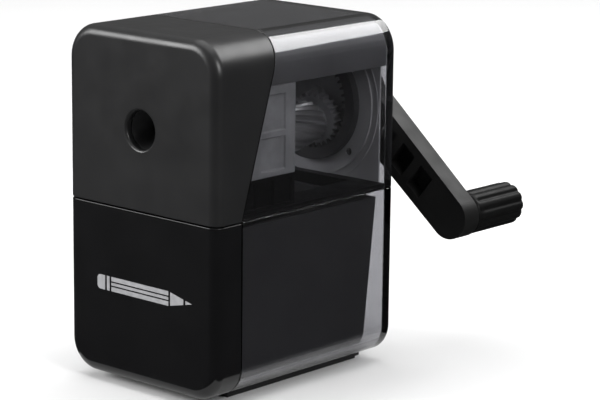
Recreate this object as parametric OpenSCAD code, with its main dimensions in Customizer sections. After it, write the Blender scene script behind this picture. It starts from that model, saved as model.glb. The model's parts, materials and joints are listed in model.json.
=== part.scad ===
// Desktop hand-crank pencil sharpener with a planetary helical cutter and a pull-out shavings drawer.
// Frame: origin under the middle of the casing, on the table. +Z up, the pencil enters towards +Y.

/* [Casing] */
// Width of the casing
body_w = 64; // [60:1:80]
// Depth of the casing, front to back
body_d = 81; // [80:1:100]
// Height of the casing above its base plate
body_h = 110; // [108:1:135]
// Wall of the casing shells
wall = 2.4; // [1.8:0.1:3]
// Height of the split between the lower casing and the covers, above the casing's underside
split_h = 55; // [46:1:56]
// Radius of the casing's two top corners
top_r = 11; // [8:0.5:13]
// Radius of the casing's two bottom corners
bottom_r = 10; // [8:0.5:12]
// Rounding of the edge around the front face
front_r = 3.5; // [1:0.5:5]
// Rounding of the edge around the rear face
rear_r = 1; // [0.5:0.5:2]
// Lean of the joint between the front cover and the clear cover, in degrees
joint_lean = 17; // [8:1:20]
// Depth of the drawer front along the side of the casing
drawer_front_d = 11; // [9:1:14]

/* [Base] */
// Height of the foot under the casing
foot_h = 2.5; // [2:0.5:5]
// Width of the foot plate
foot_w = 46; // [36:1:50]
// Length of the foot plate
foot_d = 62; // [50:1:68]
// Thickness of the rubber sheet under the foot plate
rubber_t = 1; // [0.8:0.1:1.5]

/* [Pencil entry] */
// Height of the pencil's axis above the casing's underside
axis_h = 80; // [80:0.5:84]
// Radius of the hole in the front face
hole_r = 6; // [5.5:0.1:7]
// Radius of the bore that guides the pencil
pencil_r = 4.2; // [3.8:0.1:4.6]
// Wall of the guide tube
guide_wall = 1.8; // [1.5:0.1:2.4]
// Softening of the front hole's edge
lead_in = 0.8; // [0.4:0.1:1.2]

/* [Gears and cutter] */
// Size of the gear teeth
gear_module = 0.7; // [0.6:0.02:0.76]
// Teeth of the fixed internal gear
ring_teeth = 42; // [40:1:44]
// Teeth of the cutter's pinion
pinion_teeth = 24; // [22:1:25]
// Tilt of the cutter against the pencil's axis, in degrees
cutter_tilt = 10; // [8:0.5:11]
// Length of the cutter's blades
cutter_len = 28.5; // [24:0.5:32]
// Helical blades around the cutter
cutter_blades = 16; // [12:1:20]
// Place of the cutter around the pencil at rest, in degrees below the crank side
cutter_at = 60; // [0:5:60]
// Radius of the cutter's axle
axle_r = 1.8; // [1.4:0.1:2]

/* [Crank] */
// Distance from the crank's shaft to its knob
crank_len = 55.6; // [46:0.2:67]
// Crank's angle below horizontal at rest, in degrees
crank_at = 40; // [0:5:90]
// Radius of the crank's shaft
shaft_r = 3; // [2.5:0.1:3.6]
// Length of the crank's hub behind the casing
hub_len = 17.9; // [14:0.1:22]
// Thickness of the crank's arm
arm_t = 7.2; // [6:0.1:9]
// Radius of the arm's rounded end
arm_end_r = 7.2; // [6:0.1:8]
// Radius of the arm's hub
hub_r = 9; // [8:0.5:10]
// Pockets in the front of the arm
pocket_count = 3; // [2:1:4]
// Length of the knob
knob_len = 25; // [20:0.5:31]
// Radius of the knob
knob_r = 7; // [6:0.1:8.4]
// Grooves around the knob
knob_grooves = 12; // [8:1:16]
// Radius of the knob's pin
pin_r = 2; // [1.6:0.1:2.4]

/* [Hidden] */
$fn = 64;

// Clearances
fit_gap = 0.1;
run_gap = 0.5;
slide_gap = 0.4;
bearing_gap = 0.05;
far = 200;
over = 1;

// Casing
front_y = -body_d / 2;
rear_y = body_d / 2;
base_z = foot_h;
top_z = base_z + body_h;
split_z = base_z + split_h;
axis_z = base_z + axis_h;
rear_in_y = rear_y - wall;
arc_steps = 8;
edge_steps = 5;

// Drawer
drawer_lip_t = 1.6;
tray_wall = 1.8;
tray_inset = wall + slide_gap;
tray_top_z = split_z - slide_gap - drawer_lip_t - slide_gap;
tray_front_y = front_y + wall + fit_gap;
tray_rear_gap = 4;
tray_rear_y = rear_in_y - tray_rear_gap;
tray_lean = 5.8;
tray_heel_r = 5;
drawer_screw_x = 14;
drawer_screw_z = base_z + split_h / 2;
drawer_screw_r = 1.2;
drawer_screw_head_r = 2.3;
drawer_screw_head_t = 1.3;
drawer_screw_bite = 1.2;

// Deck and frame inside the covers
deck_t = 1.4;
deck_top_z = split_z + deck_t;
chute_w = 36;
chute_d = 34;
deck_flange_h = 11;
deck_flange_t = 2.4;
deck_flange_w = 44;
frame_inset = wall + 0.3;
frame_t = 2;
frame_side_h = 13;
frame_low_z = top_z - frame_inset - frame_side_h;

// Gear housing in the rear wall, and the mechanism laid out from it forwards
boss_out = 2;
boss_end_y = rear_y + boss_out;
boss_floor_t = 1.6;
flange_t = 1.2;
panel_t = 0.6;
panel_y = rear_in_y - panel_t;
rim_r = 26.8;
rim_w = 0.6;
rim_t = 0.3;
flange_y = rear_in_y - flange_t;
flange_r = 24.4;
disc_t = 2;
disc_y = boss_end_y - boss_floor_t - run_gap - disc_t;
pinion_t = 3;
pinion_room = 3.6;
pinion_y = disc_y - pinion_room;
pitch_gap = gear_module * (ring_teeth - pinion_teeth) / 2;
ring_pitch_r = gear_module * ring_teeth / 2;
pinion_pitch_r = gear_module * pinion_teeth / 2;
tooth_tip = 0.72 * gear_module;
tooth_foot = 1.05 * gear_module;
ring_foot = 1.28 * gear_module;
tooth_tip_w = 0.6 * gear_module;
tooth_foot_w = 1.6 * gear_module;
ring_rim = 4.6;
ring_outer_r = ring_pitch_r + ring_rim;
ring_lead = 0.5;
ring_y = pinion_y - ring_lead;
ring_tooth_d = 4;
spigot_wall = 0.8;
spigot_r = ring_pitch_r + ring_foot + spigot_wall;
boss_wall = 1.6;
boss_r = spigot_r + boss_wall;
gear_screw_out = 0.2;
gear_screw_at = (boss_r + flange_r) / 2 + gear_screw_out;
collar_len = 2.1;
collar_r = 5;
cutter_back = pinion_t / 2 + collar_len;
cutter_front = cutter_back + cutter_len;
washer_t = 0.6;
washer_r = 4;
point_flat = 0.35;
point_lead = 2;
cutter_r = (pitch_gap + (cutter_back + point_lead) * sin(cutter_tilt)) * cos(cutter_tilt) - point_flat;
blade_depth = 1.1;
blade_share = 0.38;
blade_twist = 110;
blade_slices = 16;
front_disc_t = 2.8;
front_disc_end_y = pinion_y - cutter_front * cos(cutter_tilt) - cutter_r * sin(cutter_tilt) - run_gap;
front_disc_y = front_disc_end_y - front_disc_t;
axle_wall = 1.8;
carrier_r = pitch_gap + (pinion_y - front_disc_y) * tan(cutter_tilt) + axle_r + axle_wall;
cage_gap = 0.8;
cage_r = ring_pitch_r - tooth_tip - cage_gap;
cage_wall = 3;
cage_cut = 4.2;
carrier_hub_r = 4.4;
carrier_hub_reach = 1.5;
carrier_hub_y = disc_y - carrier_hub_reach;
pad_r = 3.6;
axle_recess = 0.4;
axle_front = (pinion_y - front_disc_y - axle_recess) / cos(cutter_tilt);
axle_back = (disc_y + disc_t - pinion_y - axle_recess) / cos(cutter_tilt);
pad_sunk = 1.5;
cross_pin_r = 0.8;
cross_pin_y = disc_y;

// Front bulkhead and pencil guide
bulkhead_t = 2.4;
bulkhead_gap = 3.1;
bulkhead_end_y = front_disc_y - bulkhead_gap;
bulkhead_y = bulkhead_end_y - bulkhead_t;
bulkhead_side_t = 2;
bulkhead_half_w = body_w / 2 - frame_inset;
guide_r = pencil_r + guide_wall;
guide_flange_r = 9.5;
guide_flange_t = 2.2;
guide_y = front_y + wall + fit_gap;
guide_end_y = front_disc_end_y - run_gap;
funnel_d = 6.5;
funnel_wall = 1.5;
guide_nut_r = 9.5;
guide_nut_t = 2.6;

// Rear bearing
bush_r = shaft_r + 1.6;
bush_flange_r = 7;
bush_flange_t = 1;
clip_r = 5;
clip_t = 0.8;
hub_y = boss_end_y + bush_flange_t + clip_t + 2 * run_gap;

// Crank
hub_end_y = hub_y + hub_len;
hub_proud = 0.4;
arm_end_y = hub_end_y - hub_proud;
arm_y = arm_end_y - arm_t;
shaft_y = carrier_hub_y;
shaft_end_y = hub_end_y - fit_gap;
shaft_flat = 0.6;
clip_groove_d = 0.6;
screw_hole_d = 9;
hub_screw_room = 1;
hub_screw_r = 1.6;
hub_screw_head_r = 3.6;
hub_screw_head_t = 2;
hub_washer_r = 5.4;
hub_washer_t = 0.8;
hub_step = 1;
arm_hub_r = hub_r - hub_step;
arm_steps = 24;
pocket_start = 17.4;
pocket_pitch = 9.7;
pocket_rib = 3.2;
pocket_side = 2.7;
pocket_web = 2.4;
knob_y = arm_end_y + run_gap;
knob_end_y = knob_y + knob_len;
knob_round = 1.8;
groove_r = 1;
groove_out = 0.45;
groove_at = knob_r + groove_out;
pin_seat = 5.4;
pin_head_r = 3;
pin_head_t = 1.1;
pin_recess_r = 3.6;
pin_recess_d = 0.6;

// Screws
screw_r = 1.5;
screw_head_r = 2.9;
screw_head_t = 1.5;
gear_screw_r = 1.25;
gear_screw_head_r = 2.3;
gear_screw_head_t = 1.2;
screw_tip_gap = 0.2;
screw_x_low = 16;
screw_drop = 6;
screw_z_low = split_z - screw_drop;
slot_w = 0.7;
slot_d = 0.8;
base_screw_x = 15;
base_screw_y = 22;
foot_back = 4.5;
foot_y = rear_y - foot_back - foot_d / 2;
base_head_t = 1;
rubber_inset = 1;

// Points along an arc from angle a0 to a1
function arc_points(x, y, r, a0, a1) =
    [for (i = [0:arc_steps]) let (a = a0 + (a1 - a0) * i / arc_steps) [x + r * cos(a), y + r * sin(a)]];

// Outline of the casing seen from the front, drawn in by inset
function casing_outline(inset) =
    let (x_top = body_w / 2 - top_r, x_low = body_w / 2 - bottom_r,
        z_top = top_z - top_r, z_low = base_z + bottom_r,
        rt = top_r - inset, rb = bottom_r - inset)
    concat(arc_points(x_top, z_top, rt, 0, 90), arc_points(-x_top, z_top, rt, 90, 180),
        arc_points(-x_low, z_low, rb, 180, 270), arc_points(x_low, z_low, rb, 270, 360));

// Outline of a gear with straight-sided teeth, the first tooth at angle start
function gear_outline(teeth, foot_r, tip_r, start) =
    [for (i = [0:teeth - 1], side = [0:3])
        let (r = (side == 0 || side == 3) ? foot_r : tip_r,
            w = (side == 0 || side == 3) ? tooth_foot_w : tooth_tip_w,
            turn = (side < 2 ? -1 : 1) * w / 2 / r * 180 / PI,
            a = start + i * 360 / teeth + turn)
        [r * cos(a), r * sin(a)]];

// Outline of the cutter with saw-shaped blades
function cutter_outline() =
    [for (i = [0:cutter_blades - 1], k = [0:2])
        let (r = k == 0 ? cutter_r - blade_depth : cutter_r,
            a = (i + k * blade_share) * 360 / cutter_blades)
        [r * cos(a), r * sin(a)]];

// Outline of the crank's arm, from its hub to its rounded end
function arm_outline() =
    concat([for (a = [-90:180 / arm_steps:90]) [crank_len + arm_end_r * cos(a), arm_end_r * sin(a)]],
        [for (a = [90:180 / arm_steps:270]) [arm_hub_r * cos(a), arm_hub_r * sin(a)]]);

// Extrudes a front-view outline (x, z) from y0 to y1
module along_y(y0, y1) {
    translate([0, y1, 0]) rotate([90, 0, 0]) linear_extrude(y1 - y0) children();
}

// Extrudes a side-view outline (y, z) over the whole width
module across_x(w) {
    translate([-w / 2, 0, 0]) rotate([90, 0, 90]) linear_extrude(w) children();
}

// A round bar along Y
module bar_y(r, y0, y1) {
    translate([0, y0, 0]) rotate([-90, 0, 0]) cylinder(r = r, h = y1 - y0);
}

// A cone along Y
module cone_y(r0, r1, y0, y1) {
    translate([0, y0, 0]) rotate([-90, 0, 0]) cylinder(r1 = r0, r2 = r1, h = y1 - y0);
}

module at_axis() {
    translate([0, 0, axis_z]) children();
}

// Turns +X of its children towards the cutter's place around the pencil
module towards_cutter() {
    at_axis() rotate([0, cutter_at, 0]) children();
}

// Turns +X of its children along the crank's arm
module towards_knob() {
    at_axis() rotate([0, crank_at, 0]) children();
}

// Cutter's own frame: Z along its tilted axis, origin at the middle of the pinion
module on_cutter_axis() {
    towards_cutter() translate([pitch_gap, pinion_y, 0]) rotate([0, 0, cutter_tilt])
        rotate([-90, 0, 0]) children();
}

// The whole casing as one solid, with its front and rear edges rounded
module casing_solid() {
    front_rings = [for (i = [0:edge_steps]) let (a = 90 * i / edge_steps)
        [front_y + front_r * (1 - cos(a)), front_r * (1 - sin(a))]];
    rear_rings = [for (i = [edge_steps:-1:0]) let (a = 90 * i / edge_steps)
        [rear_y - rear_r * (1 - cos(a)), rear_r * (1 - sin(a))]];
    rings = concat(front_rings, rear_rings);
    count = len(casing_outline(0));
    points = [for (ring = rings, p = casing_outline(ring[1])) [p[0], ring[0], p[1]]];
    sides = [for (k = [0:len(rings) - 2], i = [0:count - 1]) let (j = (i + 1) % count)
        [k * count + i, k * count + j, (k + 1) * count + j, (k + 1) * count + i]];
    front_cap = [for (i = [count - 1:-1:0]) i];
    rear_cap = [for (i = [0:count - 1]) (len(rings) - 1) * count + i];
    polyhedron(points, concat([front_cap], sides, [rear_cap]));
}

// Space inside the casing's walls, from y0 to y1
module casing_cavity(y0, y1) {
    along_y(y0, y1) polygon(casing_outline(wall));
}

// Side view of the part of the casing in front of the leaning joint, moved back by shift
module front_region(shift) {
    foot = front_y + drawer_front_d + shift;
    head = foot + (body_h + foot_h) * tan(joint_lean);
    across_x(far) polygon([[front_y - wall, split_z], [foot, split_z],
        [head, split_z + body_h + foot_h], [front_y - wall, split_z + body_h + foot_h]]);
}

module pan_screw(r, head_r, head_t, length) {
    difference() {
        union() {
            cylinder(r = r, h = length);
            translate([0, 0, length]) cylinder(r = head_r, h = head_t);
        }
        translate([-head_r, -slot_w / 2, length + head_t - slot_d])
            cube([2 * head_r, slot_w, head_t]);
    }
}

module base_plate() {
    color("#18181a") difference() {
        translate([-foot_w / 2, foot_y - foot_d / 2, rubber_t]) cube([foot_w, foot_d, foot_h - rubber_t]);
        for (sx = [-1, 1], sy = [-1, 1])
            translate([sx * base_screw_x, foot_y + sy * base_screw_y, 0]) {
                cylinder(r = screw_r + fit_gap, h = foot_h + wall);
                cylinder(r = screw_head_r + fit_gap, h = rubber_t + base_head_t);
            }
    }
}

module non_slip_pad() {
    color("#2a2a2a") translate([-foot_w / 2 + rubber_inset, foot_y - foot_d / 2 + rubber_inset, 0])
        cube([foot_w - 2 * rubber_inset, foot_d - 2 * rubber_inset, rubber_t]);
}

module base_screws() {
    color("silver") for (sx = [-1, 1], sy = [-1, 1])
        translate([sx * base_screw_x, foot_y + sy * base_screw_y, 0]) {
            translate([0, 0, rubber_t + fit_gap]) cylinder(r = screw_head_r, h = base_head_t - fit_gap);
            translate([0, 0, rubber_t + base_head_t])
                cylinder(r = screw_r, h = base_z + wall - rubber_t - base_head_t - fit_gap);
        }
}

module lower_casing() {
    start_y = front_y + drawer_front_d + slide_gap;
    color("#33363a", 0.5) difference() {
        intersection() {
            casing_solid();
            translate([-far / 2, start_y, 0]) cube([far, rear_y - start_y, split_z - fit_gap]);
        }
        casing_cavity(front_y, rear_in_y);
        for (sx = [-1, 1], sy = [-1, 1])
            translate([sx * base_screw_x, foot_y + sy * base_screw_y, 0])
                cylinder(r = screw_r + fit_gap, h = base_z + wall + over);
        for (sx = [-1, 1])
            translate([sx * screw_x_low, 0, screw_z_low])
                bar_y(screw_r + fit_gap, rear_in_y - over, rear_y + over);
    }
}

module rear_cover() {
    color("#33363a", 0.5) difference() {
        casing_solid();
        front_region(fit_gap);
        translate([-far / 2, -far / 2, 0]) cube([far, far, split_z + fit_gap]);
        casing_cavity(front_y, rear_in_y);
        at_axis() bar_y(boss_r + fit_gap, rear_in_y - over, rear_y + over);
        at_gear_screws() bar_y(gear_screw_r + fit_gap, rear_in_y - over, rear_y + over);
    }
}

module front_cover() {
    color("#202124") difference() {
        intersection() {
            casing_solid();
            front_region(0);
        }
        casing_cavity(front_y + wall, rear_y);
        at_axis() {
            bar_y(hole_r, front_y - over, front_y + wall + over);
            cone_y(hole_r + lead_in, hole_r, front_y, front_y + lead_in);
            cone_y(hole_r + 2 * lead_in, hole_r + lead_in, front_y - lead_in, front_y);
        }
    }
}

// The four places of the screws around the gear housing
module at_gear_screws() {
    at_axis() for (a = [45:90:315])
        translate([gear_screw_at * cos(a), 0, gear_screw_at * sin(a)]) children();
}

module housing_screws() {
    color("silver") at_gear_screws() translate([0, flange_y + screw_tip_gap, 0]) rotate([-90, 0, 0])
        pan_screw(gear_screw_r, gear_screw_head_r, gear_screw_head_t, rear_y - flange_y - screw_tip_gap);
}

module deck_screws() {
    start_y = rear_in_y - fit_gap - deck_flange_t;
    color("silver") for (sx = [-1, 1])
        translate([sx * screw_x_low, start_y, screw_z_low]) rotate([-90, 0, 0])
            pan_screw(screw_r, screw_head_r, screw_head_t, rear_y - start_y);
}

module deck() {
    deck_w = body_w - 2 * wall - 2 * fit_gap;
    deck_y = front_y + wall + fit_gap;
    deck_end_y = rear_in_y - fit_gap;
    chute_y = (front_disc_y + pinion_y) / 2;
    color("#141416") difference() {
        union() {
            translate([-deck_w / 2, deck_y, split_z]) cube([deck_w, deck_end_y - deck_y, deck_t]);
            translate([-deck_flange_w / 2, deck_end_y - deck_flange_t, split_z - deck_flange_h])
                cube([deck_flange_w, deck_flange_t, deck_flange_h + deck_t / 2]);
        }
        translate([-chute_w / 2, chute_y - chute_d / 2, split_z - over])
            cube([chute_w, chute_d, deck_t + 2 * over]);
        for (sx = [-1, 1])
            translate([sx * screw_x_low, 0, screw_z_low])
                bar_y(screw_r, deck_end_y - deck_flange_t - over, rear_y);
    }
}

module top_frame() {
    color("#141416") difference() {
        along_y(front_y + wall + fit_gap, rear_in_y - fit_gap) difference() {
            polygon(casing_outline(frame_inset));
            polygon(casing_outline(frame_inset + frame_t));
        }
        translate([-far / 2, -far / 2, 0]) cube([far, far, frame_low_z]);
    }
}

module front_bulkhead() {
    half_w = bulkhead_half_w - bulkhead_side_t - fit_gap;
    color("#1c1c1f") difference() {
        translate([-half_w, bulkhead_y, deck_top_z])
            cube([2 * half_w, bulkhead_t, frame_low_z - fit_gap - deck_top_z]);
        at_axis() bar_y(guide_r + fit_gap, bulkhead_y - over, bulkhead_end_y + over);
    }
}

module side_plates() {
    color("#1c1c1f") for (side = [-1, 1])
        translate([side * (bulkhead_half_w - bulkhead_side_t / 2) - bulkhead_side_t / 2, guide_y, deck_top_z])
            cube([bulkhead_side_t, bulkhead_end_y - guide_y, frame_low_z - fit_gap - deck_top_z]);
}

// Panel that closes the rear of the covers, with a raised rim and a flange around the boss
module rear_panel() {
    intersection() {
        along_y(flange_y, rear_in_y) polygon(casing_outline(frame_inset + frame_t + fit_gap));
        translate([-far / 2, front_y, deck_top_z + fit_gap]) cube([far, far, body_h]);
        union() {
            translate([-far / 2, panel_y, 0]) cube([far, panel_t, far]);
            at_axis() {
                bar_y(flange_r, flange_y, rear_in_y);
                difference() {
                    bar_y(rim_r, panel_y - rim_t, rear_in_y);
                    bar_y(rim_r - rim_w, panel_y - rim_t - over, panel_y);
                }
            }
        }
    }
}

module gear_housing() {
    color("#8f9296") difference() {
        union() {
            rear_panel();
            at_axis() bar_y(boss_r, flange_y, boss_end_y);
        }
        at_axis() {
            bar_y(spigot_r + bearing_gap, flange_y - over, boss_end_y - boss_floor_t);
            bar_y(bush_r, flange_y, boss_end_y + over);
        }
        at_gear_screws() bar_y(gear_screw_r, flange_y - over, rear_y);
    }
}

module ring_gear() {
    color("#2b2c30") towards_cutter() difference() {
        union() {
            bar_y(ring_outer_r, ring_y, flange_y);
            bar_y(spigot_r, flange_y - over, ring_y + ring_tooth_d);
        }
        along_y(ring_y - over, ring_y + ring_tooth_d + over)
            polygon(gear_outline(ring_teeth, ring_pitch_r + ring_foot, ring_pitch_r - tooth_tip,
                180 / ring_teeth));
    }
}

module rear_bush() {
    color("#b08d4a") at_axis() difference() {
        union() {
            bar_y(bush_r, boss_end_y - boss_floor_t, boss_end_y);
            bar_y(bush_flange_r, boss_end_y, boss_end_y + bush_flange_t);
        }
        bar_y(shaft_r + bearing_gap, flange_y, boss_end_y + bush_flange_t + over);
    }
}

module pencil_guide() {
    color("#101012") at_axis() difference() {
        union() {
            bar_y(guide_flange_r, guide_y, guide_y + guide_flange_t);
            bar_y(guide_r + funnel_wall, guide_y + guide_flange_t, guide_y + funnel_d);
            bar_y(guide_r, guide_y + funnel_d, guide_end_y);
        }
        cone_y(hole_r, pencil_r, guide_y, guide_y + funnel_d);
        cone_y(hole_r + over, hole_r, guide_y - over, guide_y);
        bar_y(pencil_r, guide_y, guide_end_y + over);
    }
}

module guide_nut() {
    color("#9a9ca0") at_axis() difference() {
        translate([0, bulkhead_y - fit_gap - guide_nut_t, 0]) rotate([-90, 0, 0])
            cylinder(r = guide_nut_r, h = guide_nut_t, $fn = 6);
        bar_y(guide_r + bearing_gap, bulkhead_y - guide_nut_t - over, bulkhead_y + over);
    }
}

module crank_shaft() {
    groove_y = boss_end_y + bush_flange_t + run_gap;
    color("#b9bcc0") at_axis() difference() {
        union() {
            bar_y(shaft_r, shaft_y, groove_y);
            bar_y(shaft_r - clip_groove_d, groove_y - over, groove_y + clip_t + over);
            bar_y(shaft_r, groove_y + clip_t, shaft_end_y);
        }
        rotate([0, crank_at, 0]) translate([shaft_r - shaft_flat, hub_y - fit_gap, -shaft_r - over])
            cube([shaft_r, hub_len + 2 * over, 2 * (shaft_r + over)]);
        bar_y(hub_screw_r, shaft_end_y - screw_hole_d, shaft_end_y + over);
        translate([0, cross_pin_y, -shaft_r - over]) cylinder(r = cross_pin_r, h = 2 * (shaft_r + over));
    }
}

module carrier() {
    color("#a9abae") difference() {
        union() {
            towards_cutter() {
                bar_y(carrier_r, front_disc_y, front_disc_end_y);
                bar_y(cage_r, disc_y, disc_y + disc_t);
                bar_y(carrier_hub_r, carrier_hub_y, disc_y + over);
                intersection() {
                    difference() {
                        bar_y(cage_r, front_disc_y, disc_y + disc_t);
                        bar_y(cage_r - cage_wall, front_disc_y - over, disc_y + disc_t + over);
                    }
                    translate([-cage_cut - far, front_disc_y, -far / 2])
                        cube([far, disc_y + disc_t - front_disc_y, far]);
                }
            }
            on_cutter_axis() {
                translate([0, 0, pinion_t / 2 + washer_t + 2 * fit_gap])
                    cylinder(r = pad_r, h = axle_back - pinion_t / 2 - washer_t - pad_sunk);
                translate([0, 0, -axle_front + pad_sunk])
                    cylinder(r = pad_r, h = axle_front - pad_sunk - cutter_front - washer_t - 2 * fit_gap);
            }
        }
        at_axis() {
            bar_y(guide_r + bearing_gap, front_disc_y - over, front_disc_end_y + run_gap);
            bar_y(shaft_r, carrier_hub_y - over, disc_y + disc_t + over);
            translate([0, cross_pin_y, -carrier_hub_r]) cylinder(r = cross_pin_r, h = 2 * carrier_hub_r);
        }
        on_cutter_axis() translate([0, 0, -axle_front - 2 * over])
            cylinder(r = axle_r, h = axle_front + axle_back + 4 * over);
    }
}

module carrier_pin() {
    color("#8c8f94") at_axis() translate([0, cross_pin_y, -carrier_hub_r])
        cylinder(r = cross_pin_r, h = 2 * carrier_hub_r);
}

module cutter_axle() {
    color("#c2c5c9") on_cutter_axis() translate([0, 0, -axle_front])
        cylinder(r = axle_r, h = axle_front + axle_back);
}

module thrust_washers() {
    color("#c9a55a") on_cutter_axis() for (z = [pinion_t / 2 + fit_gap, -cutter_front - washer_t - fit_gap])
        translate([0, 0, z]) difference() {
            cylinder(r = washer_r, h = washer_t);
            translate([0, 0, -over]) cylinder(r = axle_r + bearing_gap, h = washer_t + 2 * over);
        }
}

module helical_cutter() {
    color("#d4d6d9") on_cutter_axis() difference() {
        translate([0, 0, -cutter_front])
            linear_extrude(cutter_len, twist = blade_twist, slices = blade_slices) polygon(cutter_outline());
        translate([0, 0, -cutter_front - over]) cylinder(r = axle_r + bearing_gap, h = cutter_len + 2 * over);
    }
}

module cutter_pinion() {
    color("#b5b7bb") on_cutter_axis() difference() {
        union() {
            translate([0, 0, -pinion_t / 2]) linear_extrude(pinion_t)
                polygon(gear_outline(pinion_teeth, pinion_pitch_r - tooth_foot,
                    pinion_pitch_r + tooth_tip, 0));
            translate([0, 0, -cutter_back]) cylinder(r = collar_r, h = collar_len + pinion_t / 2);
        }
        translate([0, 0, -cutter_back - over]) cylinder(r = axle_r + bearing_gap, h = cutter_back + pinion_t);
    }
}

module shaft_clip() {
    clip_y = boss_end_y + bush_flange_t + run_gap + fit_gap;
    color("#6f7276") at_axis() difference() {
        bar_y(clip_r, clip_y, clip_y + clip_t - 2 * fit_gap);
        bar_y(shaft_r - clip_groove_d, clip_y - over, clip_y + clip_t + over);
        translate([clip_groove_d - shaft_r, clip_y - over, 0])
            cube([2 * (shaft_r - clip_groove_d), clip_t + 2 * over, clip_r + over]);
    }
}

module crank_arm() {
    color("#121214") difference() {
        union() {
            at_axis() bar_y(hub_r, hub_y, hub_end_y);
            towards_knob() along_y(arm_y, arm_end_y) polygon(arm_outline());
        }
        towards_knob() {
            for (i = [0:pocket_count - 1])
                translate([pocket_start + i * pocket_pitch, arm_y - over, -arm_end_r + pocket_side])
                    cube([pocket_pitch - pocket_rib, arm_t - pocket_web + over,
                        2 * (arm_end_r - pocket_side)]);
            difference() {
                bar_y(shaft_r, hub_y - over, hub_end_y + over);
                translate([shaft_r - shaft_flat, hub_y - 2 * over, -shaft_r - over])
                    cube([shaft_r, hub_len + 4 * over, 2 * (shaft_r + over)]);
            }
            translate([crank_len, 0, 0]) bar_y(pin_r, arm_end_y - pin_seat, arm_end_y + over);
        }
    }
}

module hub_washer() {
    color("#b9bcc0") at_axis() difference() {
        bar_y(hub_washer_r, hub_end_y, hub_end_y + hub_washer_t);
        bar_y(hub_screw_r + fit_gap, hub_end_y - over, hub_end_y + hub_washer_t + over);
    }
}

module hub_screw() {
    shank_y = shaft_end_y - screw_hole_d + hub_screw_room;
    color("#c2c5c9") at_axis() translate([0, shank_y, 0]) rotate([-90, 0, 0])
        pan_screw(hub_screw_r, hub_screw_head_r, hub_screw_head_t, hub_end_y + hub_washer_t - shank_y);
}

module knob_pin() {
    head_y = knob_end_y - pin_recess_d + fit_gap;
    color("#c2c5c9") towards_knob() translate([crank_len, 0, 0]) {
        bar_y(pin_r, arm_end_y - pin_seat, head_y);
        bar_y(pin_head_r, head_y, head_y + pin_head_t);
    }
}

module knob() {
    color("#151517") towards_knob() translate([crank_len, 0, 0]) difference() {
        translate([0, knob_y, 0]) rotate([-90, 0, 0]) rotate_extrude()
            polygon(concat([[0, 0], [knob_r - knob_round / 2, 0], [knob_r, knob_round / 2]],
                arc_points(knob_r - knob_round, knob_len - knob_round, knob_round, 0, 90), [[0, knob_len]]));
        for (i = [0:knob_grooves - 1])
            rotate([0, i * 360 / knob_grooves, 0]) translate([groove_at, 0, 0])
                bar_y(groove_r, knob_y + knob_round, knob_end_y + over);
        bar_y(pin_r + bearing_gap, knob_y - over, knob_end_y + over);
        bar_y(pin_recess_r, knob_end_y - pin_recess_d, knob_end_y + over);
    }
}

// Side view of the tray, drawn in by inset
function tray_side(inset) =
    let (low = base_z + tray_inset + inset, heel_x = tray_rear_y - (tray_top_z - low) * tan(tray_lean),
        r = tray_heel_r - inset)
    concat([[tray_front_y + inset, tray_top_z + (inset > 0 ? over : 0)], [tray_front_y + inset, low]],
        arc_points(heel_x - r - inset, low + r, r, -90, -tray_lean),
        [[tray_rear_y - inset, tray_top_z + (inset > 0 ? over : 0)]]);

module drawer_tray() {
    color("#1b1b1e") difference() {
        intersection() {
            along_y(tray_front_y, tray_rear_y) polygon(casing_outline(tray_inset));
            across_x(far) polygon(tray_side(0));
        }
        intersection() {
            along_y(tray_front_y, tray_rear_y) polygon(casing_outline(tray_inset + tray_wall));
            across_x(far) polygon(tray_side(tray_wall));
        }
        for (sx = [-1, 1])
            translate([sx * drawer_screw_x, 0, drawer_screw_z])
                bar_y(drawer_screw_r + fit_gap, tray_front_y - over, tray_front_y + tray_wall + over);
    }
}

module drawer_front() {
    cap_top_z = split_z - slide_gap;
    color("#0e0e10") difference() {
        intersection() {
            casing_solid();
            translate([-far / 2, front_y - over, 0]) cube([far, drawer_front_d + over, cap_top_z]);
        }
        intersection() {
            casing_cavity(front_y + wall, rear_y);
            translate([-far / 2, front_y, 0]) cube([far, far, cap_top_z - drawer_lip_t]);
        }
        for (sx = [-1, 1])
            translate([sx * drawer_screw_x, 0, drawer_screw_z])
                bar_y(drawer_screw_r, front_y + wall - drawer_screw_bite, front_y + wall + over);
    }
}

module drawer_screws() {
    start_y = front_y + wall - drawer_screw_bite;
    color("silver") for (sx = [-1, 1])
        translate([sx * drawer_screw_x, start_y, drawer_screw_z]) rotate([-90, 0, 0])
            pan_screw(drawer_screw_r, drawer_screw_head_r, drawer_screw_head_t,
                tray_front_y + tray_wall - start_y);
}

base_plate();
non_slip_pad();
base_screws();
lower_casing();
rear_cover();
front_cover();
housing_screws();
deck_screws();
deck();
top_frame();
front_bulkhead();
side_plates();
gear_housing();
ring_gear();
rear_bush();
pencil_guide();
guide_nut();
crank_shaft();
carrier();
carrier_pin();
cutter_axle();
thrust_washers();
helical_cutter();
cutter_pinion();
shaft_clip();
crank_arm();
hub_washer();
hub_screw();
knob_pin();
knob();
drawer_tray();
drawer_front();
drawer_screws();
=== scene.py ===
import json
import math

import bmesh
import bpy
from mathutils import Matrix, Vector


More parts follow.
